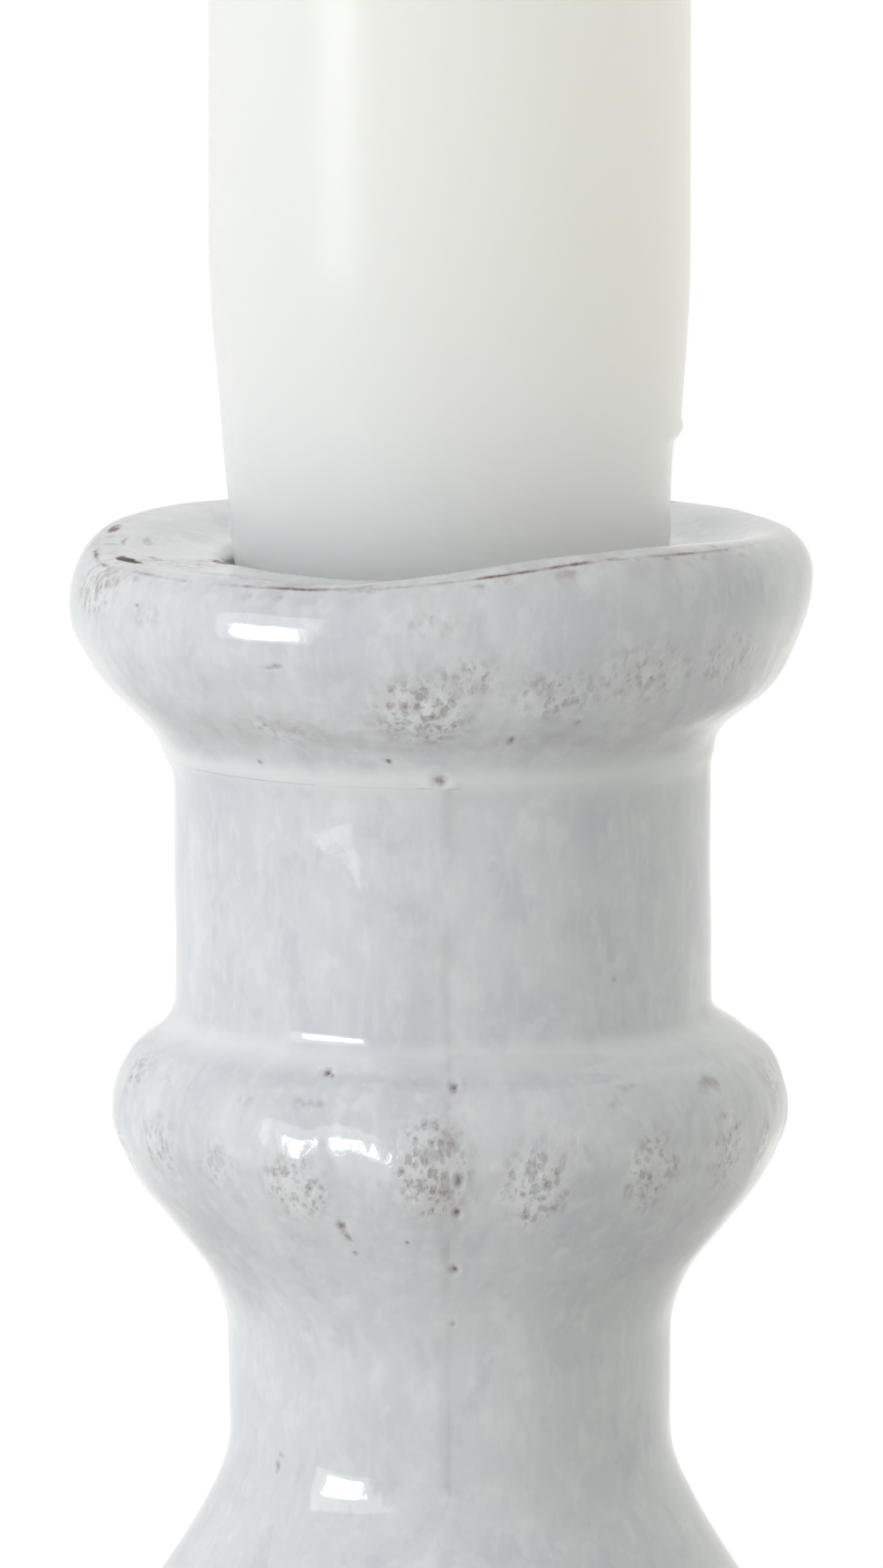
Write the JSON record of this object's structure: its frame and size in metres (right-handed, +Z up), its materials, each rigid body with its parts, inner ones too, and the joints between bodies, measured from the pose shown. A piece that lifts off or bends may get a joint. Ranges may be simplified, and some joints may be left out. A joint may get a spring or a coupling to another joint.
{
  "type": "candlestick",
  "caption": "White glazed ceramic candlestick with a rolled drip dish, ringed and balustered stem and domed foot, holding a removable white candle.",
  "frame": {"origin": "centre of the foot ring's flat face, on the surface that the candlestick stands on", "axes": "+Z up along the candle; the mould seam of the stem lies in the plane X = 0, with one line towards -Y"},
  "size_m": [0.09, 0.09, 0.259],
  "materials": {
    "white_glaze": "gloss",
    "bare_clay": "matte",
    "white_wax": "satin",
    "wick_cotton": "matte"
  },
  "bodies": {
    "holder": {"drip_dish": "white_glaze", "stem_left_shell": "white_glaze", "stem_right_shell": "white_glaze", "socket_floor": "bare_clay", "foot": "white_glaze"},
    "candle": {"candle": "white_wax", "wick": "wick_cotton"}
  },
  "joints": [
    {"name": "candle_lift", "type": "slide", "parent": "holder", "child": "candle", "axis": [0, 0, 1], "range_m": [0, 0.03]}
  ]
}
